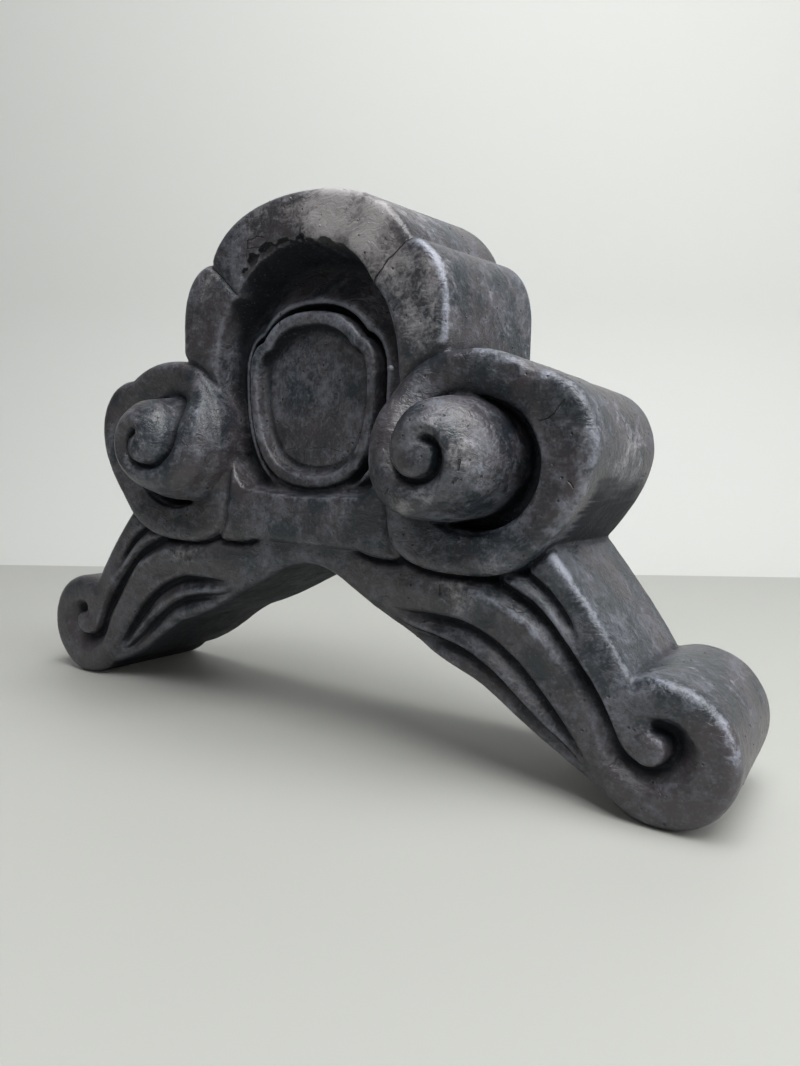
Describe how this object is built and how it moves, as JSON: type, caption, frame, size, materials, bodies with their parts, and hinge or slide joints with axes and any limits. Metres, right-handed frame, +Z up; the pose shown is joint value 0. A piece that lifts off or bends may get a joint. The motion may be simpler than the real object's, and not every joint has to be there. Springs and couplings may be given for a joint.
{
  "type": "roof end tile",
  "caption": "Smoked clay roof ridge end tile: cusped crest with a niche, cloud scrolls with conch spirals and fluted legs on volute feet.",
  "frame": {"origin": "on the ground plane, midway across the tile and midway between the scroll tips and the flat back", "axes": "+X across the tile towards its left-hand foot as the tile sees it, -Y out of the carved face, +Z up"},
  "size_m": [0.44, 0.118, 0.275],
  "materials": {
    "smoked_clay": "smoked, burnished, blue-grey with brown patches, semi-matte"
  },
  "bodies": {
    "root": {"roof_end_tile": "smoked_clay"}
  },
  "joints": []
}
